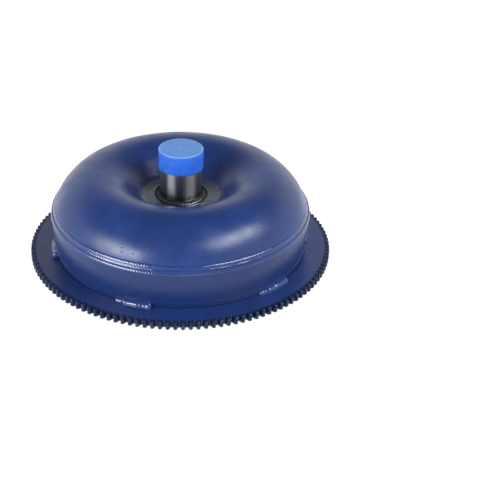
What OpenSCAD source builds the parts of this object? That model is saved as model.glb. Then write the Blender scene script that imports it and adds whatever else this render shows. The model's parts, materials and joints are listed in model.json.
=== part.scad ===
// Three-element torque converter with a starter ring gear welded to its front cover.
// The axis is Z. Z = 0 is the bolting face of the four mounting pads, and +Z points to the transmission.

/* [Mounting face] */
// Height of the mounting pads above the cover
pad_h = 8; // [7:0.5:9]
// Diameter of the bolt circle
bolt_circle_d = 254; // [250:0.5:256]
// Number of mounting pads
pad_count = 4; // [3:1:6]
// Drilled diameter of the holes, for a 5/16 in thread
bolt_hole_d = 6.9; // [6:0.1:8]
// Diameter of the crank pilot
pilot_d = 39.37; // [39:0.01:41]
// Length of the crank pilot beyond the bolting face
pilot_reach = 8; // [4:0.5:10]

/* [Ring gear] */
// Number of teeth
gear_teeth = 130; // [122:1:136]
// Diameter over the tooth tips
gear_od = 334.4; // [332:0.2:340]
// Thickness of the ring
gear_thick = 9; // [7:0.5:10]
// Depth of a tooth
tooth_depth = 5.5; // [4.5:0.05:6]

/* [Cover and shell] */
// Thickness of the cover's plate
cover_t = 4.5; // [4:0.1:5]
// Thickness of the impeller shell
shell_t = 4; // [3.5:0.1:4.5]
// Outer radius of the cover's wall at the closure weld
seam_r = 142.3; // [142:0.1:143]
// Height of the joint between the cover and the shell
seam_z = 66.5; // [66:0.1:67]
// Height of the turned land round the hub
land_z = 82; // [81.5:0.1:82.5]

/* [Hub and cap] */
// Outside diameter of the drive hub's journal
hub_d = 46; // [45.5:0.05:46.5]
// Bore of the drive hub
hub_bore_d = 38; // [37:0.1:39]
// Height of the hub's tip
hub_top_z = 136; // [134:0.5:138]
// Outside diameter of the shipping cap
cap_d = 49.2; // [49:0.1:51]
// Height of the shipping cap
cap_h = 22.2; // [21:0.1:23]

/* [Blades and clutch] */
// Number of impeller blades
impeller_blade_count = 27; // [21:1:31]
// Number of turbine blades
turbine_blade_count = 25; // [21:1:31]
// Number of stator blades
stator_blade_count = 15; // [11:1:17]
// Number of rollers in the one-way clutch
roller_count = 10; // [8:1:10]

/* [Hidden] */
$fn = 96;
eps = 0.01;

// Cover: a flat face, a tight corner and a wall that bulges gently up to the weld
face_z = pad_h;
cover_corner_r = 6;
cover_base_r = 139.5;
wall_bulge_r = 300;
wall_steps = 6;
pilot_hole_r = 18;

// Ring gear
gear_z = 12;
gear_top_z = gear_z + gear_thick;
gear_tip_r = gear_od / 2;
gear_root_r = gear_tip_r - tooth_depth;
// Widths of a tooth at its root and at its tip, from the pitch of a 10-pitch gear
tooth_pitch_w = 7.98;
tooth_tip_w = 0.28 * tooth_pitch_w;
tooth_root_w = 0.72 * tooth_pitch_w;

// Shell: its cross-section is a large side bend, a crown bend, a funnel wall and a flat land
side_bend_r = 57.75;
side_bend_c = [83.5, 53.24];
crown_bend_r = 45;
bend_meet_a = 55;
funnel_a = 135;
land_fillet_r = 8;
land_hole_r = 27.5;
crown_bend_c = side_bend_c + (side_bend_r - crown_bend_r) * unit(bend_meet_a);
crown_end = crown_bend_c + crown_bend_r * unit(funnel_a);
land_fillet_c = [
    crown_end[0] - (crown_end[1] - land_z) - land_fillet_r * (sqrt(2) - 1),
    land_z + land_fillet_r
];

// Weld bead round the seam: the height, the radius and the thickness of its three ridges
weld_ridge_r = 2.2;
weld_ridges = [[-1.3, -2.7], [-1.4, 0.5], [-3.1, 3.5]];

// Fluid circuit
core_r = 18;
core_t = 1.2;
turbine_c = [92, 60];
turbine_r = 42;
turbine_t = 1.6;
impeller_core_c = [92, 61.4];
turbine_core_c = [92, 58.8];
turbine_flange_z = 33.4;
turbine_flange_r = 38;
blade_t = 1;

// Hub
hub_r = hub_d / 2;
hub_foot_r = hub_r + 0.4;
hub_tip_r = hub_r - 0.4;
hub_foot_top_z = land_z + 2.4;
hub_journal_top_z = 115.3;
hub_flange_z = land_z - shell_t - 4;
hub_flange_r = 42;
drive_slot_w = 10;
drive_slot_depth = 8;

// Turbine hub and its rivets
turbine_hub_z = 15.4;
turbine_hub_top_z = 43;
turbine_hub_r = 28;
turbine_hub_flange_r = 52;
turbine_hub_flange_t = 4;
turbine_neck_r = 30;
rivet_count = 12;
rivet_circle_r = 46;
rivet_r = 2.5;
rivet_head_r = 4.2;
rivet_head_h = 1.8;

// Stator and one-way clutch
stator_z = 45.3;
stator_top_z = 70;
stator_bore_r = 38;
stator_hub_r = 46;
stator_ring_r = 70;
stator_rim_r = 73;
stator_rim_z = 51;
stator_rim_h = 15;
snap_groove_r = 39.2;
snap_in_r = 35.6;
snap_t = 1.4;
plate_t = 1.5;
cam_z = 49.2;
cam_h = 17;
race_r = 24;
roller_r = 3.2;
roller_circle_r = race_r + roller_r + 0.05;
bearing_z = stator_top_z;
bearing_race_t = 1;
bearing_in_r = 27;
bearing_out_r = 40;
needle_count = 24;
needle_r = 0.75;
needle_start_r = 29;
needle_length = 9;

// Cap
cap_z = 115.5;
cap_in_r = hub_tip_r + 0.05;
cap_edge_r = 1.6;

function unit(a) = [cos(a), sin(a)];

// Points along an arc round c, from angle a0 to angle a1
function arc(c, r, a0, a1, n = 10) = [for (i = [0:n]) c + r * unit(a0 + (a1 - a0) * i / n)];

function reverse(list) = [for (i = [len(list) - 1:-1:0]) list[i]];

// Radius of the cover's wall at height z
function wall_r(z) = seam_r - wall_bulge_r + sqrt(pow(wall_bulge_r, 2) - pow(seam_z - z, 2));

// Outline of the cover's plate, moved inwards by off
function cover_curve(off) = concat(
    [[pilot_hole_r, face_z + off]],
    arc([cover_base_r - cover_corner_r, face_z + cover_corner_r], cover_corner_r - off, -90, 0, 6),
    [for (i = [0:wall_steps]) wall_point(gear_top_z + (seam_z - gear_top_z) * i / wall_steps, off)]
);
function wall_point(z, off) = [wall_r(z) - off, z];

// Outline of the impeller shell from its rim to its land, moved inwards by off
function shell_curve(off) = concat(
    arc(side_bend_c, side_bend_r - off, rim_angle(off), bend_meet_a, 14),
    arc(crown_bend_c, crown_bend_r - off, bend_meet_a, funnel_a, 14),
    arc(land_fillet_c, land_fillet_r + off, funnel_a - 180, -90, 6),
    [[land_hole_r, land_z - off]]
);
function rim_angle(off) = asin((seam_z - side_bend_c[1]) / (side_bend_r - off));

// Angle below the horizontal at which a circle round c reaches height z, on its inner side
function low_angle(c, r, z) = -180 + asin((c[1] - z) / r);

module ring_section(r_in, r_out, z0, z1) {
    translate([r_in, z0]) square([r_out - r_in, z1 - z0]);
}

module ring(r_in, r_out, z0, z1) {
    translate([0, 0, z0]) difference() {
        cylinder(h = z1 - z0, r = r_out);
        translate([0, 0, -1]) cylinder(h = z1 - z0 + 2, r = r_in);
    }
}

module around(count) {
    for (i = [0:count - 1]) rotate([0, 0, i * 360 / count]) children();
}

// A flat plate with round corners, as an exact outline
module rounded_plate(w, d, r) {
    square([w - 2 * r, d], center = true);
    square([w, d - 2 * r], center = true);
    for (x = [-1, 1]) for (y = [-1, 1]) translate([x * (w / 2 - r), y * (d / 2 - r)]) circle(r);
}

module spline_hole(teeth, minor_r, major_r) {
    circle(minor_r);
    for (i = [0:teeth - 1]) rotate(i * 360 / teeth)
        translate([0, -0.22 * minor_r * 6.28 / teeth]) square([major_r, 0.44 * minor_r * 6.28 / teeth]);
}

module cover_section() {
    polygon(concat(cover_curve(0), reverse(cover_curve(cover_t))));
}

module shell_section() {
    polygon(concat(shell_curve(0), reverse(shell_curve(shell_t))));
}

module front_cover() {
    color("midnightblue") difference() {
        rotate_extrude() cover_section();
        drain_position() cylinder(h = 20, r = drain_thread_r);
    }
}

// Boss with a step that rests on the cover, a shallow round recess in its end and a lathe centre
pilot_step_z = 4.5;
pilot_step_r = 25;
pilot_chamfer = 1.5;
pilot_recess = 1.2;
pilot_recess_r = 12.8;
pilot_back_z = face_z + cover_t + 1.5;
module crank_pilot() {
    r = pilot_d / 2;
    end_z = -pilot_reach;
    color("gainsboro") rotate_extrude() polygon([
        [0, end_z + 3], [3, end_z + pilot_recess], [pilot_recess_r - 0.8, end_z + pilot_recess],
        [pilot_recess_r, end_z], [r - pilot_chamfer, end_z], [r, end_z + pilot_chamfer],
        [r, pilot_step_z], [pilot_step_r, pilot_step_z], [pilot_step_r, face_z],
        [pilot_hole_r, face_z], [pilot_hole_r, pilot_back_z], [0, pilot_back_z]
    ]);
}

module pilot_weld() {
    color("slategray") rotate_extrude() polygon([
        [pilot_step_r, face_z], [pilot_step_r, face_z - 2.8], [pilot_step_r + 1.8, face_z - 2.2],
        [pilot_step_r + 3.2, face_z - 0.9], [pilot_step_r + 3.8, face_z]
    ]);
}

pad_w = 30;
pad_d = 22;
pad_corner_r = 3;
module mounting_pads() {
    color("silver") around(pad_count) translate([bolt_circle_d / 2, 0, 0]) difference() {
        linear_extrude(pad_h) rounded_plate(pad_d, pad_w, pad_corner_r);
        translate([0, 0, -1]) cylinder(h = pad_h + 2, d = bolt_hole_d);
    }
}

// Fillet beads along the two ends of every pad
module pad_welds() {
    bead = 3.5;
    bead_length = 12;
    color("slategray") around(pad_count) for (side = [-1, 1])
        translate([bolt_circle_d / 2 - pad_d / 2 + pad_corner_r, side * pad_w / 2, face_z])
            rotate([90, 0, 90]) linear_extrude(bead_length)
                polygon([[0, 0], [side * bead, 0], [side * bead * 0.6, -bead * 0.6], [0, -bead]]);
}

drain_r = 96;
drain_a = 45;
drain_thread_r = 5;
drain_head_d = 13.5;
drain_head_h = 3.3;
drain_washer_r = 7.5;
drain_washer_t = 1.2;
module drain_position() {
    rotate([0, 0, drain_a]) translate([drain_r, 0, 0]) children();
}

module drain_plug() {
    color("dimgray") drain_position() {
        translate([0, 0, face_z - drain_washer_t - drain_head_h])
            cylinder(h = drain_head_h, d = drain_head_d, $fn = 6);
        translate([0, 0, face_z - drain_washer_t]) cylinder(h = drain_washer_t, r = drain_washer_r);
        translate([0, 0, face_z - eps]) cylinder(h = cover_t + 1, r = drain_thread_r);
    }
}

// A small plate, welded to the cover's face where the assembly needed it
weight_size = [14, 32, 3.2];
weight_r = 104;
weight_a = 200;
module balance_weight() {
    color("slategray") rotate([0, 0, weight_a]) translate([weight_r, 0, face_z - weight_size[2]])
        linear_extrude(weight_size[2]) rounded_plate(weight_size[0], weight_size[1], 2.5);
}

// One closed outline with a root flank, a tip and a root flank for every tooth
function tooth_half_angle(w, r) = w / (2 * r) * 180 / PI;
function tooth_points(i) = let (
    a = i * 360 / gear_teeth,
    root = tooth_half_angle(tooth_root_w, gear_root_r),
    tip = tooth_half_angle(tooth_tip_w, gear_tip_r)
) [
    gear_root_r * unit(a - root), gear_tip_r * unit(a - tip),
    gear_tip_r * unit(a + tip), gear_root_r * unit(a + root)
];

module ring_gear() {
    color("darkslateblue") translate([0, 0, gear_z]) difference() {
        linear_extrude(gear_thick) polygon([for (i = [0:gear_teeth - 1]) each tooth_points(i)]);
        translate([0, 0, -1]) cylinder(h = gear_thick + 2, r = cover_base_r);
    }
}

// Short fillet beads that hold the ring gear, on its transmission side
gear_weld_angles = [-170, -107.5, -42, 10, 70, 130];
gear_weld_span = 17;
module ring_gear_welds() {
    color("midnightblue") for (a = gear_weld_angles) rotate([0, 0, a - gear_weld_span / 2])
        rotate_extrude(angle = gear_weld_span) difference() {
            translate([0, gear_top_z]) polygon([
                [cover_base_r - 2, 0], [cover_base_r + 5, 0], [cover_base_r + 4.4, 1.6],
                [cover_base_r + 2.8, 3.2], [cover_base_r + 1.4, 5], [cover_base_r - 2, 5.6]
            ]);
            cover_section();
        }
}

module closure_weld() {
    color("royalblue") rotate_extrude() difference() {
        union() {
            for (ridge = weld_ridges) translate([seam_r + ridge[0], seam_z + ridge[1]]) circle(weld_ridge_r);
            polygon([
                [seam_r - 4, seam_z - 4.4], [seam_r - 0.2, seam_z - 4.4], [seam_r + 0.3, seam_z - 1],
                [seam_r - 0.9, seam_z + 3], [seam_r - 3.4, seam_z + 5.2], [seam_r - 6, seam_z + 5.2]
            ]);
        }
        cover_section();
        shell_section();
        ring_section(0, seam_r - cover_t + 1, 0, seam_z + 6);
    }
}

// Shell with turned grooves in its land and a step for the hub's weld
land_groove_rs = [31, 34.5, 38];
land_groove_w = 0.8;
land_groove_depth = 0.3;
module impeller_shell() {
    color("midnightblue") rotate_extrude() difference() {
        shell_section();
        for (r = land_groove_rs) translate([r, land_z - land_groove_depth]) square([land_groove_w, 1]);
        translate([land_hole_r - 1, land_z - 1]) square([3, 2]);
    }
}

// Space between the shell and the core ring that the impeller's blades fill
impeller_exit_z = impeller_core_c[1] + 1;
module impeller_passage() {
    difference() {
        polygon(concat(
            [[135.2, impeller_exit_z]],
            [for (p = shell_curve(shell_t)) if (p[0] > 54) p],
            [[73.8, impeller_exit_z + 4], [92, impeller_exit_z]]
        ));
        translate(impeller_core_c) circle(core_r);
    }
}

module impeller_blades() {
    color("lightsteelblue") around(impeller_blade_count)
        rotate([90, 0, 0]) translate([0, 0, -blade_t / 2]) linear_extrude(blade_t) impeller_passage();
}

module impeller_core_ring() {
    color("lightsteelblue") rotate_extrude()
        polygon(concat(arc(impeller_core_c, core_r, 2, 178, 20), arc(impeller_core_c, core_r - core_t, 178, 2, 20)));
}

module impeller_hub() {
    color("silver") difference() {
        rotate_extrude() polygon([
            [hub_bore_d / 2, hub_flange_z], [hub_flange_r, hub_flange_z], [hub_flange_r, land_z - shell_t],
            [hub_foot_r, land_z - shell_t], [hub_foot_r, hub_foot_top_z], [hub_r, hub_foot_top_z],
            [hub_r, hub_journal_top_z], [hub_tip_r, hub_journal_top_z],
            [hub_tip_r, hub_top_z - 1], [hub_tip_r - 1, hub_top_z], [hub_bore_d / 2, hub_top_z]
        ]);
        translate([-drive_slot_w / 2, -hub_d, hub_top_z - drive_slot_depth])
            cube([drive_slot_w, 2 * hub_d, drive_slot_depth + 1]);
    }
}

module hub_weld() {
    color("dimgray") rotate_extrude() polygon([
        [hub_foot_r, land_z - shell_t], [land_hole_r, land_z - shell_t], [land_hole_r, land_z - 1.2],
        [land_hole_r - 1.2, land_z + 0.4], [hub_foot_r + 1.2, land_z + 1.2], [hub_foot_r, hub_foot_top_z]
    ]);
}

// Washer with oil grooves across its upper face
front_washer_r = 30;
oil_groove_w = 2;
module front_thrust_washer() {
    top = turbine_hub_z - 0.3;
    color("darkgoldenrod") difference() {
        ring(pilot_hole_r + 1, front_washer_r, face_z + cover_t, top);
        around(4) translate([0, -oil_groove_w / 2, top - 0.8]) cube([front_washer_r + 1, oil_groove_w, 1]);
    }
}

module turbine_shell() {
    low = low_angle(turbine_c, turbine_r, turbine_flange_z);
    high = low_angle(turbine_c, turbine_r - turbine_t, turbine_flange_z + turbine_t);
    color("lightslategray") difference() {
        rotate_extrude() polygon(concat(
            arc(turbine_c, turbine_r, -2, low, 24),
            [[turbine_flange_r, turbine_flange_z], [turbine_flange_r, turbine_flange_z + turbine_t]],
            arc(turbine_c, turbine_r - turbine_t, high, -2, 24)
        ));
        rivet_holes();
    }
}

// Space between the turbine's shell and core ring that its blades fill
module turbine_passage() {
    difference() {
        polygon(concat(
            arc(turbine_c, turbine_r - turbine_t, -3, low_angle(turbine_c, turbine_r - turbine_t, 37), 24),
            [[74.8, 52], [92, 58.2]]
        ));
        translate(turbine_core_c) circle(core_r);
    }
}

// Every turbine blade is a strip of a large arc, kept on one side of a line through the axis
turbine_bow_c = [60, 60];
turbine_bow_r = 72;
turbine_bow_a = 45;
module turbine_blades() {
    color("lightsteelblue") around(turbine_blade_count) intersection() {
        rotate_extrude() turbine_passage();
        linear_extrude(turbine_c[1] + 10) difference() {
            translate(turbine_bow_c) circle(turbine_bow_r + blade_t / 2);
            translate(turbine_bow_c) circle(turbine_bow_r - blade_t / 2);
            rotate(turbine_bow_a) translate([-200, 0]) square([400, 200]);
        }
    }
}

module turbine_core_ring() {
    color("lightsteelblue") rotate_extrude()
        polygon(concat(arc(turbine_core_c, core_r, -2, -178, 20), arc(turbine_core_c, core_r - core_t, -178, -2, 20)));
}

module rivet_holes() {
    around(rivet_count) translate([rivet_circle_r, 0, turbine_flange_z - 6]) cylinder(h = 12, r = rivet_r);
}

// Hub with a flange for the turbine's shell and a bore with splines for the gearbox's input shaft
module turbine_hub() {
    color("silver") difference() {
        rotate_extrude() polygon([
            [6, turbine_hub_z], [turbine_hub_r, turbine_hub_z],
            [turbine_hub_r, turbine_flange_z - turbine_hub_flange_t],
            [turbine_hub_flange_r, turbine_flange_z - turbine_hub_flange_t],
            [turbine_hub_flange_r, turbine_flange_z], [turbine_neck_r, turbine_flange_z],
            [turbine_neck_r, turbine_hub_top_z], [6, turbine_hub_top_z]
        ]);
        translate([0, 0, turbine_hub_z - 1]) linear_extrude(40) spline_hole(24, 12, 13);
        rivet_holes();
    }
}

module turbine_rivets() {
    low = -turbine_hub_flange_t;
    high = turbine_t;
    dome_r = rivet_head_r - 1;
    color("gray") around(rivet_count) translate([rivet_circle_r, 0, turbine_flange_z]) rotate_extrude() polygon([
        [0, low - rivet_head_h], [dome_r, low - rivet_head_h], [rivet_head_r, low - rivet_head_h / 2],
        [rivet_head_r, low], [rivet_r, low], [rivet_r, high], [rivet_head_r, high],
        [rivet_head_r, high + rivet_head_h / 2], [dome_r, high + rivet_head_h], [0, high + rivet_head_h]
    ]);
}

module stator_thrust_washer() {
    color("darkgoldenrod") ring(17.5, 44, turbine_hub_top_z + 0.3, stator_z);
}

// Cambered teardrop section of a stator blade, across the wheel and along its axis
blade_chord = 16.5;
blade_camber = 8;
function blade_half_t(s) = 2.6 * (1.9 * sqrt(s) - 0.9 * s - 1.0 * s * s) + 0.25;
function blade_mid(s) = blade_camber * pow(s, 1.6);
function blade_side(side) = [
    for (i = [0:10]) let (s = i / 10) [blade_mid(s) + side * blade_half_t(s), cam_z + 0.3 + blade_chord * s]
];

module stator_wheel() {
    color("gainsboro") difference() {
        union() {
            ring(stator_bore_r, stator_hub_r, stator_z, stator_top_z);
            ring(stator_ring_r, stator_rim_r, stator_rim_z, stator_rim_z + stator_rim_h);
            around(stator_blade_count) translate([stator_hub_r - 1, 0, 0]) rotate([90, 0, 90])
                linear_extrude(stator_ring_r - stator_hub_r + 2)
                    polygon(concat(blade_side(1), reverse(blade_side(-1))));
        }
        ring(stator_bore_r - 5, snap_groove_r, cam_z - plate_t - snap_t, cam_z - plate_t);
        ring(stator_bore_r - 5, snap_groove_r, cam_z + cam_h + plate_t, cam_z + cam_h + plate_t + snap_t);
    }
}

// A roller's seat and, beside it, the room for its spring
spring_room_r = 30.2;
module clutch_pocket() {
    translate([roller_circle_r, 0]) circle(roller_r + 0.15);
    intersection() {
        polygon([[0, 0], 45 * unit(4), 45 * unit(22)]);
        circle(spring_room_r);
    }
}

module clutch_cam() {
    color("slategray") translate([0, 0, cam_z]) linear_extrude(cam_h) difference() {
        circle(stator_bore_r);
        circle(race_r + 0.5);
        for (i = [0:roller_count - 1]) rotate(i * 360 / roller_count) clutch_pocket();
    }
}

module clutch_rollers() {
    color("silver") around(roller_count) translate([roller_circle_r, 0, cam_z + 0.5])
        cylinder(h = cam_h - 1, r = roller_r);
}

// Folded strip springs, one beside every roller
spring_folds = 5;
module clutch_springs() {
    t = 0.5;
    function fold(i, off) = (i % 2 == 0 ? 25.4 : 29.2) * unit(9.2 + 2.3 * i + off);
    color("goldenrod") around(roller_count) translate([0, 0, cam_z + 3]) linear_extrude(cam_h - 6)
        for (i = [0:spring_folds - 2]) polygon([fold(i, 0), fold(i, t * 2), fold(i + 1, t * 2), fold(i + 1, 0)]);
}

module clutch_front_plate() {
    color("darkgray") ring(race_r + 0.4, stator_bore_r, cam_z - plate_t, cam_z);
}

module clutch_rear_plate() {
    color("darkgray") ring(race_r + 0.4, stator_bore_r, cam_z + cam_h, cam_z + cam_h + plate_t);
}

// An open ring that springs into its groove
module snap_ring(z) {
    gap = 6;
    color("dimgray") difference() {
        ring(snap_in_r, snap_groove_r, z, z + snap_t);
        translate([0, -gap / 2, z - 1]) cube([snap_groove_r + 1, gap, snap_t + 2]);
    }
}

module front_snap_ring() {
    snap_ring(cam_z - plate_t - snap_t);
}

module rear_snap_ring() {
    snap_ring(cam_z + cam_h + plate_t);
}

// Race with splines for the gearbox's fixed support shaft
race_h = 24.1;
module clutch_inner_race() {
    color("silver") translate([0, 0, stator_z + 0.3]) difference() {
        cylinder(h = race_h, r = race_r);
        translate([0, 0, -1]) linear_extrude(race_h + 2) spline_hole(28, 16, 17.2);
    }
}

module bearing_front_race() {
    color("silver") ring(bearing_in_r, bearing_out_r, bearing_z, bearing_z + bearing_race_t);
}

needle_z = (bearing_z + bearing_race_t + hub_flange_z - bearing_race_t) / 2;
module bearing_needles() {
    color("gainsboro") around(needle_count) translate([needle_start_r, 0, needle_z]) rotate([0, 90, 0])
        cylinder(h = needle_length, r = needle_r);
}

module bearing_cage() {
    color("darkgoldenrod") difference() {
        ring(bearing_in_r + 0.5, bearing_out_r - 0.5, needle_z - 0.5, needle_z + 0.5);
        around(needle_count) translate([needle_start_r, -needle_r, needle_z - 1])
            cube([needle_length, 2 * needle_r, 2]);
    }
}

module bearing_rear_race() {
    color("silver") ring(bearing_in_r, bearing_out_r, hub_flange_z - bearing_race_t, hub_flange_z);
}

module hub_cap() {
    r = cap_d / 2;
    top = cap_z + cap_h;
    color("dodgerblue") rotate_extrude() polygon(concat(
        [[cap_in_r, cap_z], [r - 0.3, cap_z], [r, cap_z + 0.3]],
        arc([r - cap_edge_r, top - cap_edge_r], cap_edge_r, 0, 90, 6),
        [[1.6, top], [1.2, top - 0.3], [0, top - 0.3], [0, hub_top_z + 0.3], [cap_in_r, hub_top_z + 0.3]]
    ));
}

front_cover();
crank_pilot();
pilot_weld();
mounting_pads();
pad_welds();
drain_plug();
balance_weight();
ring_gear();
ring_gear_welds();
closure_weld();
impeller_shell();
impeller_blades();
impeller_core_ring();
impeller_hub();
hub_weld();
front_thrust_washer();
turbine_shell();
turbine_blades();
turbine_core_ring();
turbine_hub();
turbine_rivets();
stator_thrust_washer();
stator_wheel();
clutch_cam();
clutch_rollers();
clutch_springs();
clutch_front_plate();
clutch_rear_plate();
front_snap_ring();
rear_snap_ring();
clutch_inner_race();
bearing_front_race();
bearing_needles();
bearing_cage();
bearing_rear_race();
hub_cap();
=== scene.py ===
"""Looks of the torque converter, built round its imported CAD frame.

Lengths are in millimetres until a mesh or a node is made. Heights run along +Z, the axis of rotation.
"""

import json
import math

import bmesh
import bpy
from mathutils import Matrix, Vector, noise


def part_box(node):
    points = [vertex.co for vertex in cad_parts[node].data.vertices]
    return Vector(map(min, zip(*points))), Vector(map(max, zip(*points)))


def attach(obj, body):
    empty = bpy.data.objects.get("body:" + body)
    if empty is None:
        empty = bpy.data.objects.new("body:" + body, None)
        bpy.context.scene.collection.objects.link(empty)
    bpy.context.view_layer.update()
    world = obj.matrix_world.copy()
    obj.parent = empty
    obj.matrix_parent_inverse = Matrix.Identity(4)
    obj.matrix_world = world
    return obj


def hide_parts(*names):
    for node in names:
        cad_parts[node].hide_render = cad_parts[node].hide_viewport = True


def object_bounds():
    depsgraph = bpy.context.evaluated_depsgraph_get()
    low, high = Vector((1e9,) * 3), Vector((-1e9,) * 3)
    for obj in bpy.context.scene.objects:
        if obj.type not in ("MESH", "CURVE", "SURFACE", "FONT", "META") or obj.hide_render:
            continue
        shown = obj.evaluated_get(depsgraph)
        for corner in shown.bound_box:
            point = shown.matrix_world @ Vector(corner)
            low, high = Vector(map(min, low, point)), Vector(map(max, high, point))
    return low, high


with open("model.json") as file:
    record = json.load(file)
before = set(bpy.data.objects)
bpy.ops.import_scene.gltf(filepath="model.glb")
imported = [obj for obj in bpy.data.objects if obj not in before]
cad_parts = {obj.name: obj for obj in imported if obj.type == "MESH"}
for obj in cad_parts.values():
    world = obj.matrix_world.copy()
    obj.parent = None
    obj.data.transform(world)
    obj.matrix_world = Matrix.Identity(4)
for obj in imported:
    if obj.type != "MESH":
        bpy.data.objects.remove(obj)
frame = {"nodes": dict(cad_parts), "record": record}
cad_low, cad_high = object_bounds()

MM = 0.001
TURN = 2 * math.pi
ON_AXIS = 0.001  # a point nearer to the axis than this lies on it


# ---------------------------------------------------------------- sizes, from the frame where it has them

def low(node):
    """Lowest corner of a CAD node's box."""
    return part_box(node)[0] / MM


def high(node):
    """Highest corner of a CAD node's box."""
    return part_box(node)[1] / MM


mount_sizes = {mount["name"]: mount["dims"] for mount in frame["record"]["mounts"]}

# Front cover. Its wall leans in below the seam along a wide arc, and ends in a lip on the ring gear
cover_z = low("front_cover").z
cover_t = 4.5
cover_base_r = 139.5
cover_corner_r = 6
wall_bulge_r = 300
lip_h = 7
lip_reach = 0.5
seam_r = high("front_cover").x
seam_z = high("front_cover").z

# Ring gear, and the stitch welds that hold it
gear_z = low("ring_gear").z
gear_top_z = high("ring_gear").z
gear_tip_r = high("ring_gear").x
gear_teeth = 130
tooth_depth = 5.5
gear_root_r = gear_tip_r - tooth_depth
tooth_pitch = 7.98
tooth_root_w = 0.72 * tooth_pitch
tooth_tip_w = 0.28 * tooth_pitch
gear_weld_angles = (-170, -107.5, -42, 10, 70, 130)
gear_weld_span = 17
gear_weld_leg = 6.2

# Impeller shell: two bends that meet smoothly, a straight funnel, and the turned bare land round the hub
shell_t = 4
land_z = low("hub_weld").z + shell_t
land_hole_r = high("hub_weld").x
land_fillet_r = 8
side_bend_c = Vector((83.5, 53.24))  # radius and height
side_bend_r = 57.75
crown_bend_r = 45
bend_meet_a = 55
funnel_a = 135
paint_edge_r = 43.4
land_groove_rs = (31, 34.5, 38)
land_step_r = 29.5
land_step = 1

# Small pits in the paint above the closure weld: angle, radius and height of each
shell_pits = ((-113.5, 133.5, 82.0), (-107.8, 135.2, 78.9), (-113.3, 135.4, 78.3), (-115.4, 138.3, 71.3))
pit_size = 1.5

# Drive hub and its shipping cap
hub_r = mount_sizes["hub_journal"]["r_mm"]
hub_bore_r = mount_sizes["hub_bore"]["r_mm"]
hub_foot_r = hub_r + 0.4
hub_tip_r = hub_r - 0.4
hub_foot_z = low("impeller_hub").z
hub_top_z = high("impeller_hub").z
hub_flange_r = high("impeller_hub").x
hub_flange_t = 4
hub_weld_top_z = high("hub_weld").z
drive_slot_w = 10
drive_slot_depth = 8
cap_z = low("hub_cap").z
cap_top_z = high("hub_cap").z
cap_r = high("hub_cap").x
cap_in_r = hub_tip_r + 0.05
gate_r = 1.9

# Engine side: crank pilot, mounting pads, balance weight
pilot_r = mount_sizes["crank_pilot"]["r_mm"]
pilot_low_z = low("crank_pilot").z
pilot_high_z = high("crank_pilot").z
pilot_step_r = high("crank_pilot").x
pilot_step_z = 4.5
pilot_hole_r = 18
bolt_circle_r = mount_sizes["flexplate_bolts"]["pcd_mm"] / 2
bolt_count = mount_sizes["flexplate_bolts"]["count"]
bolt_hole_r = mount_sizes["flexplate_bolts"]["hole_r_mm"]
pad_h = high("mounting_pads").z
pad_radial = 22
pad_width = 30
weight_r = 104
weight_angle = 200


# ---------------------------------------------------------------- outlines

def unit(degrees):
    """A direction in the plane, from its angle."""
    return Vector((math.cos(math.radians(degrees)), math.sin(math.radians(degrees))))


def arc(centre, radius, start, end, step):
    """Points along an arc in the plane of radius and height, about step degrees apart."""
    count = max(2, round(abs(end - start) / step))
    return [Vector(centre) + radius * unit(start + (end - start) * i / count) for i in range(count + 1)]


def rounded(points, size):
    """A closed outline with its corners rounded, and with a point held just beyond every rounding.

    A rounding takes up size millimetres of both edges, or less where an edge is short.
    """
    steps = 4
    nearly_straight = 165
    most_of_edge = 0.35
    hold = 1.35
    result = []
    for i, corner in enumerate(points):
        corner = Vector(corner)
        before = Vector(points[i - 1]) - corner
        after = Vector(points[(i + 1) % len(points)]) - corner
        if corner.x < ON_AXIS or math.degrees(before.angle(after)) > nearly_straight:
            result.append(corner)
            continue
        reach = min(size, most_of_edge * before.length, most_of_edge * after.length)
        start = corner + before.normalized() * reach
        end = corner + after.normalized() * reach
        result.append(corner + before.normalized() * reach * hold)
        for k in range(steps + 1):
            t = k / steps
            result.append(start * (1 - t) ** 2 + corner * 2 * t * (1 - t) + end * t ** 2)
        result.append(corner + after.normalized() * reach * hold)
    return result


def wall_r(z):
    """Radius of the cover's wall at height z."""
    return seam_r - wall_bulge_r + math.sqrt(wall_bulge_r ** 2 - (seam_z - z) ** 2)


def cover_outline():
    """The cover's section, with a slight lip, undercut at its foot, against the ring gear."""
    wall_steps = 24
    heights = [gear_top_z + (seam_z - gear_top_z) * i / wall_steps for i in range(wall_steps + 1)]
    lip = [(0, 0), (0, 0.5), (lip_reach, 0.8), (lip_reach, lip_h - 0.3), (0, lip_h), (0, lip_h + 0.4)]
    corner = (cover_base_r - cover_corner_r, cover_z + cover_corner_r)
    outer = [Vector((r, cover_z)) for r in (pilot_hole_r, 60, 110)]
    outer += arc(corner, cover_corner_r, -90, 0, 10)
    outer += [Vector((wall_r(gear_top_z + rise) + reach, gear_top_z + rise)) for reach, rise in lip]
    outer += [Vector((wall_r(z), z)) for z in heights if z > gear_top_z + lip_h + 1]
    inner = [Vector((pilot_hole_r, cover_z + cover_t))]
    inner += arc(corner, cover_corner_r - cover_t, -90, 0, 30)
    inner += [Vector((wall_r(z) - cover_t, z)) for z in heights[::4]]
    return outer + inner[::-1]


crown_bend_c = side_bend_c + (side_bend_r - crown_bend_r) * unit(bend_meet_a)
funnel_top = crown_bend_c + crown_bend_r * unit(funnel_a)
land_fillet_c = Vector((
    funnel_top.x - (funnel_top.y - land_z) - land_fillet_r * (math.sqrt(2) - 1),
    land_z + land_fillet_r,
))


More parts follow.
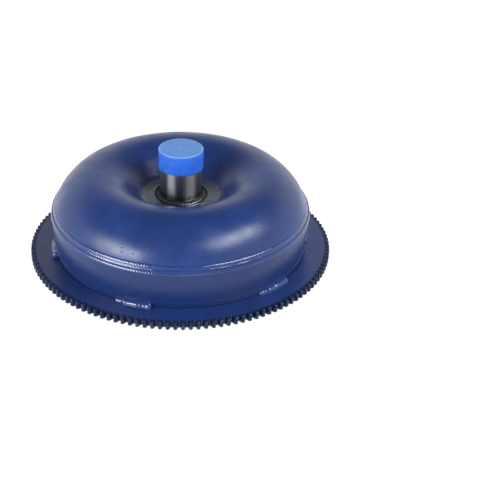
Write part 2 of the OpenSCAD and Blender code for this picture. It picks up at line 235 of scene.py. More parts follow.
def shell_curve(off, step):
    """The shell's section from its rim to the bare land, moved inwards by off."""
    rim_a = math.degrees(math.asin((seam_z - side_bend_c.y) / (side_bend_r - off)))
    curve = arc(side_bend_c, side_bend_r - off, rim_a, bend_meet_a, step)
    curve += arc(crown_bend_c, crown_bend_r - off, bend_meet_a, funnel_a, step)[1:]
    curve += arc(land_fillet_c, land_fillet_r + off, funnel_a - 180, -90, 2 * step)
    return curve


def shell_outline():
    """The shell's section, with the turned grooves of its bare land."""
    groove_w, groove_depth, slant = 0.8, 0.3, 0.2
    land = []
    for r in reversed(land_groove_rs):
        land += [(r + groove_w, land_z), (r + groove_w - slant, land_z - groove_depth)]
        land += [(r + slant, land_z - groove_depth), (r, land_z)]
    land += [(land_step_r, land_z), (land_step_r - slant, land_z - land_step)]
    land += [(land_hole_r, land_z - land_step)]
    inner = [Vector((land_hole_r, land_z - shell_t))] + shell_curve(shell_t, 6)[::-1]
    return shell_curve(0, 2) + [Vector(point) for point in land] + inner


# ---------------------------------------------------------------- meshes

def piece(name, bm, body, slot, *nodes, sharp=38):
    """Turns a bmesh into a piece that rides on body and stands for some CAD nodes."""
    bmesh.ops.recalc_face_normals(bm, faces=bm.faces)
    mesh = bpy.data.meshes.new(name)
    bm.to_mesh(mesh)
    bm.free()
    mesh.shade_smooth()
    mesh.set_sharp_from_angle(angle=math.radians(sharp))
    made = bpy.data.objects.new(name, mesh)
    bpy.context.scene.collection.objects.link(made)
    mesh.materials.append(materials[slot])
    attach(made, body)
    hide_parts(*nodes)
    return made


def turned(outline, segments, shape=None):
    """A closed solid turned round Z from a closed outline. shape(angle, point) may move a point."""
    bm = bmesh.new()
    on_axis = {}
    columns = []
    for i in range(segments):
        angle = TURN * i / segments
        column = []
        for j, point in enumerate(outline):
            if point[0] < ON_AXIS:
                if j not in on_axis:
                    on_axis[j] = bm.verts.new((0, 0, point[1] * MM))
                column.append(on_axis[j])
                continue
            r, z = shape(angle, point) if shape else point
            column.append(bm.verts.new((r * math.cos(angle) * MM, r * math.sin(angle) * MM, z * MM)))
        columns.append(column)
    for i, here in enumerate(columns):
        there = columns[(i + 1) % segments]
        for j in range(len(outline)):
            k = (j + 1) % len(outline)
            corners = list(dict.fromkeys((here[j], here[k], there[k], there[j])))
            if len(corners) > 2:
                bm.faces.new(corners)
    return bm


def lofted(bm, loops, capped=True):
    """Joins loops of equally many points, in millimetres, and closes the ends or joins last to first."""
    rows = [[bm.verts.new(Vector(point) * MM) for point in loop] for loop in loops]
    count = len(rows[0])
    pairs = list(zip(rows, rows[1:]))
    if capped:
        bm.faces.new(rows[0])
        bm.faces.new(rows[-1])
    else:
        pairs.append((rows[-1], rows[0]))
    for here, there in pairs:
        for i in range(count):
            k = (i + 1) % count
            bm.faces.new((here[i], here[k], there[k], there[i]))
    return bm


def wavy(point, size, seed=0):
    """Smooth noise from about -1 to 1, with features of the given size."""
    return noise.noise(Vector(point) / size + Vector((seed, 2 * seed, -seed)))


def wavy_at(angle, r, z, size, seed):
    """The same noise at an angle in radians, a radius and a height."""
    return wavy((r * math.cos(angle), r * math.sin(angle), z), size, seed)


def dented(amount, size, seed):
    """A shape function for turned(): smooth unevenness of up to amount millimetres."""
    def shape(angle, point):
        r, z = point
        off = amount * wavy_at(angle, r, z, size, seed)
        return r + off, z + off
    return shape


# ---------------------------------------------------------------- materials

class Graph:
    """A Principled material in the making. Most methods add a node and return its output."""

    def __init__(self, name):
        self.material = bpy.data.materials.new(name)
        self.material.use_nodes = True
        self.tree = self.material.node_tree
        self.shader = self.tree.nodes["Principled BSDF"]
        self.place = self.node("ShaderNodeTexCoord").outputs["Object"]

    def node(self, kind, inputs=None, **settings):
        """A shader node with its inputs linked or set. This one returns the node itself."""
        made = self.tree.nodes.new(kind)
        for key, value in settings.items():
            setattr(made, key, value)
        for key, value in (inputs or {}).items():
            self.put(made.inputs[key], value)
        return made

    def put(self, socket, value):
        """Links an output to a socket, or sets the socket to a plain value."""
        if isinstance(value, bpy.types.NodeSocket):
            self.tree.links.new(value, socket)
        else:
            socket.default_value = value

    def noise(self, size, detail, stretch=(1, 1, 1)):
        """Noise from 0 to 1 with features of about size millimetres."""
        place = self.node("ShaderNodeMapping", {"Vector": self.place, "Scale": stretch}).outputs[0]
        inputs = {"Vector": place, "Scale": 1 / (size * MM), "Detail": detail}
        return self.node("ShaderNodeTexNoise", inputs).outputs[0]

    def math(self, operation, a, b=0.0):
        """One arithmetic step on one or two numbers."""
        return self.node("ShaderNodeMath", {0: a, 1: b}, operation=operation).outputs[0]

    def times(self, a, b):
        """The product of two numbers."""
        return self.math("MULTIPLY", a, b)

    def remap(self, value, from_low, from_high, to_low=0.0, to_high=1.0):
        """Maps one range smoothly to another and holds its ends. from_low may be the larger one."""
        inputs = {"Value": value, "From Min": from_low, "From Max": from_high}
        inputs.update({"To Min": to_low, "To Max": to_high})
        return self.node("ShaderNodeMapRange", inputs, interpolation_type="SMOOTHSTEP").outputs[0]

    def patches(self, size, detail, start, full, outside=0.0, inside=1.0, stretch=(1, 1, 1)):
        """Noise made into patches: outside where it is below start, and inside where it is above full."""
        return self.remap(self.noise(size, detail, stretch), start, full, outside, inside)

    def mix(self, share, a, b):
        """Colour a where share is 0 and colour b where it is 1."""
        made = self.node("ShaderNodeMix", {0: share}, data_type="RGBA")
        for socket, value in zip(made.inputs[6:8], (a, b)):
            self.put(socket, value if isinstance(value, bpy.types.NodeSocket) else (*value, 1))
        return made.outputs[2]

    def radius(self):
        """Distance from the Z axis, in millimetres."""
        flat = self.node("ShaderNodeVectorMath", {0: self.place, 1: (1, 1, 0)}, operation="MULTIPLY")
        length = self.node("ShaderNodeVectorMath", {0: flat.outputs[0]}, operation="LENGTH")
        return self.math("DIVIDE", length.outputs["Value"], MM)

    def height(self):
        """Height above the mounting face, in millimetres."""
        return self.math("DIVIDE", self.node("ShaderNodeSeparateXYZ", {0: self.place}).outputs[2], MM)

    def turned_lines(self, along, pitch):
        """Machining lines, a wave along a radius or a height."""
        return self.math("SINE", self.times(along, TURN / pitch))

    def bump(self, height, distance, strength, normal=None):
        """The normal of a surface that stands out by distance millimetres where height is 1."""
        inputs = {"Height": height, "Distance": distance * MM, "Strength": strength}
        if normal is not None:
            inputs["Normal"] = normal
        return self.node("ShaderNodeBump", inputs).outputs[0]

    def specks(self, spacing, size, share):
        """Sparse dots: 1 inside a dot and 0 outside."""
        cells = self.node("ShaderNodeTexVoronoi", {"Vector": self.place, "Scale": 1 / (spacing * MM)})
        chosen = self.node("ShaderNodeSeparateColor", {0: cells.outputs["Color"]}).outputs[0]
        dot = self.remap(cells.outputs["Distance"], 0.6 * size / spacing, 0.4 * size / spacing)
        return self.times(dot, self.math("LESS_THAN", chosen, share))

    def pit(self, angle, radius, height, size):
        """1 inside a small round pit at an angle, a radius and a height, and 0 outside."""
        centre = (*(radius * unit(angle) * MM), height * MM)
        away = self.node("ShaderNodeVectorMath", {0: self.place, 1: centre}, operation="DISTANCE")
        return self.remap(away.outputs["Value"], 0.6 * size * MM, 0.4 * size * MM)

    def done(self, **inputs):
        """Sets the shader's own inputs, with _ for a space, and returns the material."""
        for key, value in inputs.items():
            self.put(self.shader.inputs[key.replace("_", " ")], value)
        return self.material


def scaled(colour, share):
    """A colour with every channel scaled."""
    return tuple(channel * share for channel in colour)


NAVY = (0.012, 0.034, 0.150)
DUSTY_NAVY = (0.009, 0.017, 0.040)
STEEL = (0.53, 0.54, 0.55)
TURNED_STEEL = (0.19, 0.225, 0.265)
STAINED_STEEL = (0.11, 0.125, 0.145)
WELD_METAL = (0.10, 0.11, 0.12)
RUST = (0.12, 0.055, 0.018)
GRIME = (0.06, 0.065, 0.075)
DARK_GRIME = (0.03, 0.032, 0.036)
FOOT_DARK = (0.06, 0.075, 0.065)
DARK_OIL = (0.03, 0.034, 0.026)
CAP_BLUE = (0.016, 0.118, 0.60)
CAP_BLUE_LIGHT = (0.021, 0.138, 0.67)
# Painted sheen: the paler colour of the cap's top
CAP_TOP_SHEEN = (0.105, 0.27, 0.62)
# Painted highlight along the cap's rim, and the paler colour of its moulding gate
CAP_RIM_HIGHLIGHT_AND_GATE = (0.16, 0.34, 0.70)
CAP_SCUFF = (0.16, 0.32, 0.7)
PAINT_IOR = 1.46


def paint(graph, colour, roughness):
    """Sprayed enamel: cloudy colour, orange peel, uneven gloss and a few specks."""
    film = graph.mix(graph.patches(45, 3, 0.35, 0.65), scaled(colour, 0.88), scaled(colour, 1.1))
    specks = graph.specks(13, 0.6, 0.03)
    film = graph.mix(specks, film, scaled(colour, 0.2))
    gloss = graph.patches(18, 4, 0.3, 0.7, roughness - 0.05, roughness + 0.05)
    waves = graph.bump(graph.noise(16, 1), 0.05, 0.5)
    normal = graph.bump(graph.noise(1.6, 2), 0.03, 0.6, waves)
    normal = graph.bump(graph.math("SUBTRACT", 1.0, specks), 0.05, 0.5, normal)
    return film, gloss, normal


def bare_land(graph, radius):
    """Turned steel with stains, fine lines and dark rings. Returns its colour and its normal."""
    line_pitch, ring_pitch, dark_ring_r = 0.55, 2.9, 28.3
    metal = graph.mix(graph.times(graph.patches(9, 4, 0.42, 0.7), 0.4), TURNED_STEEL, STAINED_STEEL)
    uneven = graph.math("ADD", radius, graph.patches(20, 2, 0.3, 0.7, -0.3, 0.3))
    rings = graph.remap(graph.turned_lines(uneven, ring_pitch), 0.35, 0.95)
    rings = graph.times(rings, graph.patches(14, 2, 0.3, 0.6, 0.3, 0.8))
    metal = graph.mix(rings, metal, GRIME)
    from_dark_ring = graph.math("ABSOLUTE", graph.math("SUBTRACT", radius, dark_ring_r))
    metal = graph.mix(graph.remap(from_dark_ring, 1.5, 0.9), metal, DARK_GRIME)
    return metal, graph.bump(graph.turned_lines(radius, line_pitch), 0.03, 0.7)


def shell_paint():
    """Enamel on the shell and the cover, with painted shade darkening it on the wall, and ragged where the
    bare land begins.
    """
    graph = Graph("shell_paint")
    film, gloss, normal = paint(graph, NAVY, 0.31)
    radius = graph.radius()
    height = graph.height()

    # Painted shade: the paint is made darker on the cover's wall, below the seam.
    wall_shade = graph.remap(height, seam_z, seam_z - 6, 0.0, 0.6)
    film = graph.mix(wall_shade, film, scaled(NAVY, 0.66))
    pits = 0.0
    for angle, pit_r, pit_z in shell_pits:
        pits = graph.math("MAXIMUM", pits, graph.pit(angle, pit_r, pit_z, pit_size))
    film = graph.mix(pits, film, scaled(NAVY, 0.1))
    shine = graph.remap(pits, 0.0, 1.0, 0.5, 0.02)
    in_well = graph.remap(radius, paint_edge_r + 8.6, paint_edge_r + 3.6)
    drips = graph.times(in_well, graph.patches(4, 2, 0.52, 0.62))
    normal = graph.bump(drips, 0.5, 0.8, normal)

    edge = graph.math("ADD", radius, graph.patches(5, 3, 0.3, 0.7, -0.5, 0.5))
    on_top = graph.remap(height, land_z - 2, land_z - 1.5)
    bare = graph.times(graph.math("LESS_THAN", edge, paint_edge_r), on_top)
    metal, turned_normal = bare_land(graph, radius)
    normals = graph.node("ShaderNodeMix", {0: bare, 4: normal, 5: turned_normal}, data_type="VECTOR")
    blend = graph.node("ShaderNodeMix", {0: bare, 2: gloss, 3: 0.36}, data_type="FLOAT")
    return graph.done(
        Base_Color=graph.mix(bare, film, metal), Metallic=bare, Roughness=blend.outputs[0],
        Normal=normals.outputs[1], IOR=PAINT_IOR, Specular_IOR_Level=shine,
    )


def gear_paint():
    """Enamel on the ring, thin and dusty on the teeth, with bare steel showing at their crests."""
    graph = Graph("gear_paint")
    film, gloss, normal = paint(graph, scaled(NAVY, 0.92), 0.3)
    radius = graph.radius()
    tooth = graph.remap(radius, gear_root_r - 0.8, gear_root_r + 1.0)
    thin = graph.times(tooth, graph.patches(3, 3, 0.3, 0.6, 0.55, 0.95))
    film = graph.mix(thin, film, DUSTY_NAVY)
    shine = graph.remap(thin, 0.0, 1.0, 0.5, 0.15)
    crest = graph.remap(radius, gear_tip_r - 0.9, gear_tip_r - 0.1)
    worn = graph.times(crest, graph.patches(2.2, 3, 0.5, 0.62))
    film = graph.mix(graph.times(worn, 0.2), film, scaled(STEEL, 0.4))
    return graph.done(
        Base_Color=film, Roughness=gloss, Normal=normal, IOR=PAINT_IOR, Specular_IOR_Level=shine,
    )


def weld_paint():
    """Thick, glossy enamel over weld beads."""
    graph = Graph("weld_paint")
    film, _, _ = paint(graph, scaled(NAVY, 1.12), 0.2)
    gloss = graph.patches(6, 3, 0.3, 0.7, 0.13, 0.26)
    normal = graph.bump(graph.noise(2.2, 3), 0.07, 0.8)
    return graph.done(
        Base_Color=film, Roughness=gloss, Normal=normal, IOR=PAINT_IOR,
        Coat_Weight=0.6, Coat_Roughness=0.14, Coat_Normal=normal,
    )


def polished_steel():
    """Ground and polished steel with fine rings round its axis, darker in patches towards its foot."""
    graph = Graph("polished_steel")
    smears = graph.patches(14, 1, 0.35, 0.7, stretch=(1, 1, 0.3))
    metal = graph.mix(graph.times(smears, 0.35), scaled(STEEL, 0.56), scaled(STEEL, 0.44))
    # Darker in patches over the lowest part of the hub, just above the weld.
    foot = graph.remap(graph.height(), hub_weld_top_z + 9, hub_weld_top_z)
    darker_foot = graph.times(foot, graph.patches(5, 3, 0.3, 0.65, 0.5, 1.0))
    metal = graph.mix(darker_foot, metal, FOOT_DARK)
    gloss = graph.patches(14, 1, 0.3, 0.7, 0.33, 0.4, stretch=(1, 1, 0.3))
    normal = graph.bump(graph.noise(0.35, 1, (0.02, 0.02, 1)), 0.004, 0.4)
    around = graph.node("ShaderNodeTangent", direction_type="RADIAL", axis="Z").outputs[0]
    return graph.done(
        Base_Color=metal, Metallic=1.0, Roughness=gloss, Normal=normal,
        Anisotropic=0.9, Anisotropic_Rotation=0.25, Tangent=around,
    )


def hub_weld_steel():
    """Bare weld metal: grey, dark with oil next to the hub, and rusty in patches."""
    graph = Graph("hub_weld_steel")
    rust = graph.times(graph.patches(3.5, 4, 0.55, 0.68), 0.4)
    dark = graph.remap(graph.radius(), hub_foot_r + 1.6, hub_foot_r + 0.4)
    metal = graph.mix(dark, WELD_METAL, DARK_OIL)
    metal = graph.mix(rust, metal, RUST)
    gloss = graph.patches(2, 3, 0.3, 0.7, 0.2, 0.45)
    normal = graph.bump(graph.noise(1.6, 3), 0.08, 0.7)
    return graph.done(Base_Color=metal, Metallic=0.85, Roughness=gloss, Normal=normal)


def plain_metal(name, colour, roughness, grain, pitch=None, stain=(0.1, 0.09, 0.08)):
    """A metal with stains, uneven gloss and grain, and turning lines where it has a pitch."""
    graph = Graph(name)
    stains = graph.times(graph.patches(12, 4, 0.45, 0.75), 0.45)
    gloss = graph.patches(6, 3, 0.3, 0.7, roughness - 0.06, roughness + 0.08)
    normal = graph.bump(graph.noise(grain, 3), 0.05, 0.6)
    if pitch:
        lines = graph.turned_lines(graph.math("ADD", graph.radius(), graph.height()), pitch)
        normal = graph.bump(lines, 0.02, 0.6, normal)
    surface = graph.mix(stains, colour, stain)
    return graph.done(Base_Color=surface, Metallic=1.0, Roughness=gloss, Normal=normal)


def cap_plastic():
    """Soft moulded polyethylene: mottled, with a painted sheen on top, a painted highlight along its rim, a
    paler gate, and scuffs.
    """
    graph = Graph("cap_plastic")
    mottle = graph.patches(9, 3, 0.35, 0.65)
    colour = graph.mix(mottle, CAP_BLUE, CAP_BLUE_LIGHT)
    # Painted sheen: the top is made paler and whiter, in patches.
    top_band = graph.remap(graph.height(), cap_top_z - 1.3, cap_top_z - 0.5)
    top_sheen = graph.times(top_band, graph.patches(4, 4, 0.25, 0.75, 0.6, 1.0))
    colour = graph.mix(top_sheen, colour, CAP_TOP_SHEEN)
    radius = graph.radius()
    # Painted highlight: a pale ring along the rim of the top; the gate below gets the same paler colour.
    rim = graph.times(graph.remap(radius, cap_r - 2.4, cap_r - 1.2), top_band)
    gate = graph.remap(radius, gate_r + 0.7, gate_r - 0.3)
    colour = graph.mix(graph.math("MAXIMUM", rim, gate), colour, CAP_RIM_HIGHLIGHT_AND_GATE)
    scuffs = graph.patches(2.5, 4, 0.6, 0.72, stretch=(1, 0.3, 1))
    colour = graph.mix(graph.times(scuffs, 0.2), colour, CAP_SCUFF)
    gloss = graph.patches(5, 3, 0.3, 0.7, 0.36, 0.5)
    normal = graph.bump(graph.noise(0.9, 2), 0.03, 0.5, graph.bump(graph.noise(8, 1), 0.15, 0.5))
    return graph.done(Base_Color=colour, Roughness=gloss, Normal=normal, IOR=1.5)


materials = {
    "shell_paint": shell_paint(),
    "gear_paint": gear_paint(),
    "weld_paint": weld_paint(),
    "polished_steel": polished_steel(),
    "hub_weld_steel": hub_weld_steel(),
    "machined_steel": plain_metal("machined_steel", (0.42, 0.42, 0.41), 0.34, 1.2, 0.5),
    "plated_steel": plain_metal("plated_steel", (0.5, 0.5, 0.47), 0.3, 2.0, None, (0.3, 0.26, 0.14)),
    "bare_sheet": plain_metal("bare_sheet", (0.34, 0.35, 0.36), 0.42, 3.0, None, (0.12, 0.10, 0.12)),
    "spring_steel": plain_metal("spring_steel", (0.16, 0.16, 0.18), 0.3, 0.8),
    "bronze": plain_metal("bronze", (0.48, 0.29, 0.10), 0.38, 1.0, 0.7, (0.2, 0.1, 0.04)),
    "cast_aluminium": plain_metal("cast_aluminium", (0.55, 0.56, 0.57), 0.5, 0.7, None, (0.3, 0.3, 0.3)),
    "cap_plastic": cap_plastic(),
}


def finish_cad_nodes():
    """Gives every CAD node the material of its slot in the record."""
    for part in frame["record"]["subparts"]:
        mesh = frame["nodes"][part["node"]].data
        mesh.materials.clear()
        mesh.materials.append(materials[part["material_slot"]])


# ---------------------------------------------------------------- housing

def shell_skin():
    """The impeller shell, with the unevenness of pressed sheet."""
    bm = turned(shell_outline(), 288, dented(0.16, 40, 3))
    piece("shell_skin", bm, "housing", "shell_paint", "impeller_shell")


def cover_skin():
    """The front cover, with the unevenness of pressed sheet."""
    bm = turned(cover_outline(), 240, dented(0.14, 45, 8))
    piece("cover_skin", bm, "housing", "shell_paint", "front_cover")


def closure_bead():
    """The weld round the seam: a sloping face of three rippled runs, raised where the last run overlaps."""
    low_toe = Vector((seam_r + 0.9, seam_z - 4.2))
    high_toe = Vector((seam_r - 3.4, seam_z + 4.7))
    slope = high_toe - low_toe
    outward = Vector((slope.y, -slope.x)).normalized()
    runs, run_points = 3, 9
    run_rise, ripple_rise, lump_rise, overlap_rise = 0.22, 0.05, 0.2, 0.35
    lump_size, lumps_apart, lump_seed = 9, 40, 5
    overlap_start, overlap = math.radians(-88), math.radians(13)
    ripple_pitch = 3.1
    ripples = round(TURN * seam_r / ripple_pitch)
    # The ripples are curved across a run, and out of step from run to run
    curving, run_shift = 2.2, 2.1

    face = []
    places = {}
    for i in range(runs * run_points + 1):
        t = i / (runs * run_points)
        across = 2 * (t * runs % 1) - 1
        point = low_toe + slope * t + outward * (run_rise * (1 - across ** 2))
        face.append(point)
        places[tuple(point)] = (t, across)
    # Points inside the wall and the shell, which close the section
    foot_z = seam_z - 5
    foot = Vector((wall_r(foot_z) - 0.2, foot_z))
    buried = [Vector((seam_r - inset, seam_z + rise)) for inset, rise in ((4.7, 5.9), (7, 5.4), (6, -4))]

    def shape(angle, point):
        if tuple(point) not in places:
            return point
        t, across = places[tuple(point)]
        run = min(int(t * runs), runs - 1)
        swell = ripple_rise * math.sin(ripples * angle + curving * across ** 2 + run_shift * run)
        swell += lump_rise * wavy_at(angle, seam_r, lumps_apart * run, lump_size, lump_seed)
        past_start = (angle - overlap_start) % TURN
        if past_start < overlap:
            climb = math.sin(math.pi * min(past_start / overlap * 4, 0.5))
            swell += overlap_rise * climb * math.sin(math.pi * t)
        return point + outward * swell

    bm = turned([foot] + face + buried, ripples * 8, shape)
    piece("closure_bead", bm, "housing", "weld_paint", "closure_weld", sharp=60)


def tooth_outline():
    """The ring's toothed edge as radii and angles: every tooth with a rounded root and a rounded tip."""
    root_half = math.degrees(tooth_root_w / (2 * gear_root_r))
    tip_half = math.degrees(tooth_tip_w / (2 * gear_tip_r))
    # Share of the way up a tooth, and share of the way from the tip's half width to the root's
    flank = ((0.0, 1.16), (0.1, 0.97), (0.5, 0.62), (0.86, 0.2), (0.97, 0.0), (1.0, -0.35))
    widening = root_half - tip_half
    side = [(gear_root_r + up * tooth_depth, tip_half + widening * wide) for up, wide in flank]
    points = []
    for i in range(gear_teeth):
        middle = 360 * i / gear_teeth
        points += [(r, middle - half) for r, half in side]
        points += [(r, middle + half) for r, half in reversed(side)]
    return points


def gear_ring():
    """Ring with teeth whose edges are chamfered, most on the side where the pinion enters."""
    teeth = tooth_outline()
    chamfer, broken_edge, bore_edge, rim_w = 0.9, 0.45, 0.3, 3
    root_share = 0.3

    def toothed(z, inset):
        """The toothed edge at a height, drawn in by inset at the tips and by less at the roots."""
        loop = []
        for r, angle in teeth:
            up_tooth = max(0.0, (r - gear_root_r) / tooth_depth)
            loop.append((*((r - inset * (root_share + (1 - root_share) * up_tooth)) * unit(angle)), z))
        return loop

    def plain(r, z):
        """A circle with a point for each point of the toothed edge."""
        return [(*(r * unit(angle)), z) for _, angle in teeth]

    loops = [
        plain(cover_base_r, gear_z + bore_edge),
        plain(cover_base_r + bore_edge, gear_z),
        plain(gear_root_r - rim_w, gear_z),
        toothed(gear_z, chamfer),
        toothed(gear_z + chamfer, 0),
        toothed(gear_top_z - broken_edge, 0),
        toothed(gear_top_z, broken_edge),
        plain(gear_root_r - rim_w, gear_top_z),
        plain(cover_base_r + bore_edge, gear_top_z),
        plain(cover_base_r, gear_top_z - bore_edge),
    ]
    bm = lofted(bmesh.new(), loops, capped=False)
    piece("gear_ring", bm, "housing", "gear_paint", "ring_gear", sharp=30)


def fillet_bead(bm, corners, leg, seed):
    """A convex weld bead along corners, each a point with the directions of the two faces that it joins.

    Its ends are blunt, and its first fifth is thinner than the rest.
    """
    face_steps, bulge_share = 6, 0.2
    blunt_steps, end_share = 3, 0.12
    thin, thin_until, thickening = 0.6, 0.2, 12
    ripple, ripple_turn, lump, lump_steps = 0.01, 1.3, 0.12, 14
    steps = len(corners) - 1
    loops = []
    for i, (corner, out, up) in enumerate(corners):
        t = i / steps
        from_end = min(t, 1 - t) * steps
        blunt = math.sqrt(1 - (1 - min(from_end / blunt_steps, 1)) ** 2)
        full = thin + (1 - thin) * min(max((t - thin_until) * thickening, 0), 1)
        uneven = 1 + ripple * math.sin(ripple_turn * i) + lump * wavy((i, seed, 0), lump_steps)
        size = leg * full * (end_share + (1 - end_share) * blunt) * uneven
        face = []
        for k in range(face_steps + 1):
            across = k / face_steps
            bulge = bulge_share * size * math.sin(math.pi * across)
            face.append(corner + out * (size * (1 - across) + bulge) + up * (size * across + bulge))
        root = [corner + up * size - out, corner - out - up, corner + out * size - up]
        loops.append(face + root)
    lofted(bm, loops)


def gear_beads():
    """Stitch welds between the ring and the cover's wall."""
    steps = round(gear_weld_span / 0.35)
    corner_r = wall_r(gear_top_z) + lip_reach
    up = Vector((0, 0, 1))
    bm = bmesh.new()
    for number, centre in enumerate(gear_weld_angles):
        corners = []
        for i in range(steps + 1):
            out = unit(centre - gear_weld_span / 2 + i * gear_weld_span / steps).to_3d()
            corners.append((out * corner_r + up * gear_top_z, out, up))
        fillet_bead(bm, corners, gear_weld_leg, number)
    piece("gear_beads", bm, "housing", "weld_paint", "ring_gear_welds", sharp=60)


def cut_box(made, size, centre, sharp):
    """Cuts a box out of a piece. The box's size and centre are in millimetres."""
    place = Matrix.Translation(Vector(centre) * MM) @ Matrix.Diagonal((Vector(size) * MM).to_4d())
    bm = bmesh.new()
    bmesh.ops.create_cube(bm, size=1, matrix=place)
    cutter_mesh = bpy.data.meshes.new("cutter")
    bm.to_mesh(cutter_mesh)
    bm.free()
    cutter = bpy.data.objects.new("cutter", cutter_mesh)
    bpy.context.scene.collection.objects.link(cutter)
    cut = made.modifiers.new("cut", "BOOLEAN")
    cut.operation = "DIFFERENCE"
    cut.object = cutter
    bpy.context.view_layer.update()
    evaluated = made.evaluated_get(bpy.context.evaluated_depsgraph_get())
    result = bpy.data.meshes.new_from_object(evaluated)
    made.modifiers.remove(cut)
    made.data = result
    result.set_sharp_from_angle(angle=math.radians(sharp))
    bpy.data.objects.remove(cutter)


def drive_hub():
    """The polished hub, with its inner flange and the two slots that drive the pump."""
    flange_top_z = hub_foot_z + hub_flange_t
    tip_edge, bore_edge = 1.2, 0.6
    sharp = 32
    outline = rounded([
        (hub_bore_r, hub_foot_z), (hub_flange_r, hub_foot_z), (hub_flange_r, flange_top_z),
        (hub_foot_r, flange_top_z), (hub_foot_r, hub_weld_top_z), (hub_r, hub_weld_top_z + 0.2),
        (hub_r, cap_z - 0.4), (hub_tip_r, cap_z - 0.1), (hub_tip_r, hub_top_z - tip_edge),
        (hub_tip_r - tip_edge, hub_top_z), (hub_bore_r + bore_edge, hub_top_z),
        (hub_bore_r, hub_top_z - bore_edge),
    ], 0.3)
    bm = turned(outline, 256)
    made = piece("drive_hub", bm, "housing", "polished_steel", "impeller_hub", sharp=sharp)
    cut_box(made, (drive_slot_w, 3 * hub_r, 2 * drive_slot_depth), (0, 0, hub_top_z), sharp)


def hub_bead():
    """The bare weld round the hub's foot, uneven on top."""
    ripples, ripple_rise = 64, 0.14
    lump_rise, lump_size, lump_r = 0.35, 6, 25
    outline = [
        Vector((hub_foot_r, land_z - shell_t)), Vector((land_hole_r, land_z - shell_t)),
        Vector((land_hole_r, land_z - 1.3)), Vector((land_hole_r - 0.5, land_z - 0.2)),
        Vector((land_hole_r - 1.4, land_z + 0.6)), Vector((hub_foot_r + 1.6, land_z + 1.0)),
        Vector((hub_foot_r + 0.8, land_z + 1.5)), Vector((hub_foot_r, hub_weld_top_z)),
    ]

    def shape(angle, point):
        if point.y < land_z - 1 or point.x < hub_foot_r + 0.1:
            return point
        lump = lump_rise * wavy_at(angle, lump_r, point.y, lump_size, 2)
        return point.x, point.y + ripple_rise * math.sin(ripples * angle) + lump

    bm = turned(outline, ripples * 8, shape)
    piece("hub_bead", bm, "housing", "hub_weld_steel", "hub_weld", sharp=60)


def shipping_cap():
    """Push-on cap: a plain skirt, a round edge, and a slightly crowned top with a moulding gate in it."""
    lip_r, edge_r = 0.5, 1.5
    draft, waist = 0.1, 0.06
    crown, gate_depth, roof_gap = 0.25, 0.35, 0.3
    rim_z = cap_top_z - crown
    skirt = [(cap_in_r, cap_z + 0.3), (cap_in_r + 0.4, cap_z), (cap_r - lip_r, cap_z)]
    sides = [(cap_r, cap_z + 3), (cap_r - waist, (cap_z + rim_z) / 2)]
    top = [(r, rim_z + crown * (1 - (r / cap_r) ** 2)) for r in (21, 18, 14, 10, 6, 3.2)]
    gate = [(gate_r + 0.5, cap_top_z - 0.05), (gate_r, cap_top_z - gate_depth)]
    gate += [(1.0, cap_top_z - gate_depth), (0.7, cap_top_z - 0.02), (0, cap_top_z)]
    roof = [(0, hub_top_z + roof_gap), (cap_in_r - 0.5, hub_top_z + roof_gap), (cap_in_r, hub_top_z - 0.2)]
    outline = skirt + arc((cap_r - lip_r, cap_z + lip_r), lip_r, -90, 0, 30)
    outline += sides + arc((cap_r - edge_r - draft, rim_z - edge_r), edge_r, 0, 90, 15)
    outline += top + gate + roof
    bm = turned(outline, 192, dented(0.06, 16, 11))
    piece("shipping_cap", bm, "cap", "cap_plastic", "hub_cap", sharp=50)


# ---------------------------------------------------------------- engine side

def crank_pilot_piece():
    """The pilot boss: a chamfered end with a shallow recess and a centre hole, and a wider foot."""
    centre_r, centre_depth = 3, 3
    recess_r, recess_depth, recess_flare = 12, 1.2, 0.8
    chamfer = 1.5
    outline = rounded([
        (0, pilot_low_z + centre_depth), (centre_r, pilot_low_z + recess_depth),
        (recess_r, pilot_low_z + recess_depth), (recess_r + recess_flare, pilot_low_z),
        (pilot_r - chamfer, pilot_low_z), (pilot_r, pilot_low_z + chamfer), (pilot_r, pilot_step_z),
        (pilot_step_r, pilot_step_z), (pilot_step_r, cover_z), (pilot_hole_r, cover_z),
        (pilot_hole_r, pilot_high_z), (0, pilot_high_z),
    ], 0.35)
    piece("pilot_boss", turned(outline, 192), "housing", "machined_steel", "crank_pilot", sharp=32)


def pilot_bead():
    """The round weld between the pilot boss and the cover, rippled and uneven."""
    ripples, ripple_share = 56, 0.05
    lump_share, lump_size, lump_r = 0.12, 8, 26
    size = Vector((high("pilot_weld").x - pilot_step_r, cover_z - low("pilot_weld").z))
    corner = Vector((pilot_step_r, cover_z))
    face = [corner + size * unit(degrees) for degrees in range(-90, 1, 15)]

    def shape(angle, point):
        if point.y >= cover_z - 0.01 or point.x <= pilot_step_r + 0.01:
            return point
        swell = 1 + ripple_share * math.sin(ripples * angle)
        swell += lump_share * wavy_at(angle, lump_r, 0, lump_size, 4)
        return corner + (point - corner) * swell

    bm = turned(face + [corner], ripples * 8, shape)
    piece("pilot_bead", bm, "housing", "shell_paint", "pilot_weld", sharp=60)


def plate_loop(width, depth, corner, count, z, inset=0.0):
    """A rounded rectangle of count points round Z, each at an even angle from the middle."""
    half_w = width / 2 - inset
    half_d = depth / 2 - inset
    corner = max(corner - inset, 0.3)
    power = 2.0 * min(half_w, half_d) / corner
    loop = []
    for i in range(count):
        direction = unit(360 * (i + 0.5) / count)
        spread = (abs(direction.x / half_w) ** power + abs(direction.y / half_d) ** power) ** (-1 / power)
        loop.append(Vector((*(direction * spread), z)))
    return loop


def round_loop(radius, count, z):
    """A circle of count points round Z, at the same angles as those of a plate_loop."""
    return [Vector((*(radius * unit(360 * (i + 0.5) / count)), z)) for i in range(count)]


def moved(loops, offset, degrees=0):
    """Loops shifted by offset and then turned round Z."""
    turn = Matrix.Rotation(math.radians(degrees), 3, "Z")
    return [[turn @ (point + Vector(offset)) for point in loop] for loop in loops]


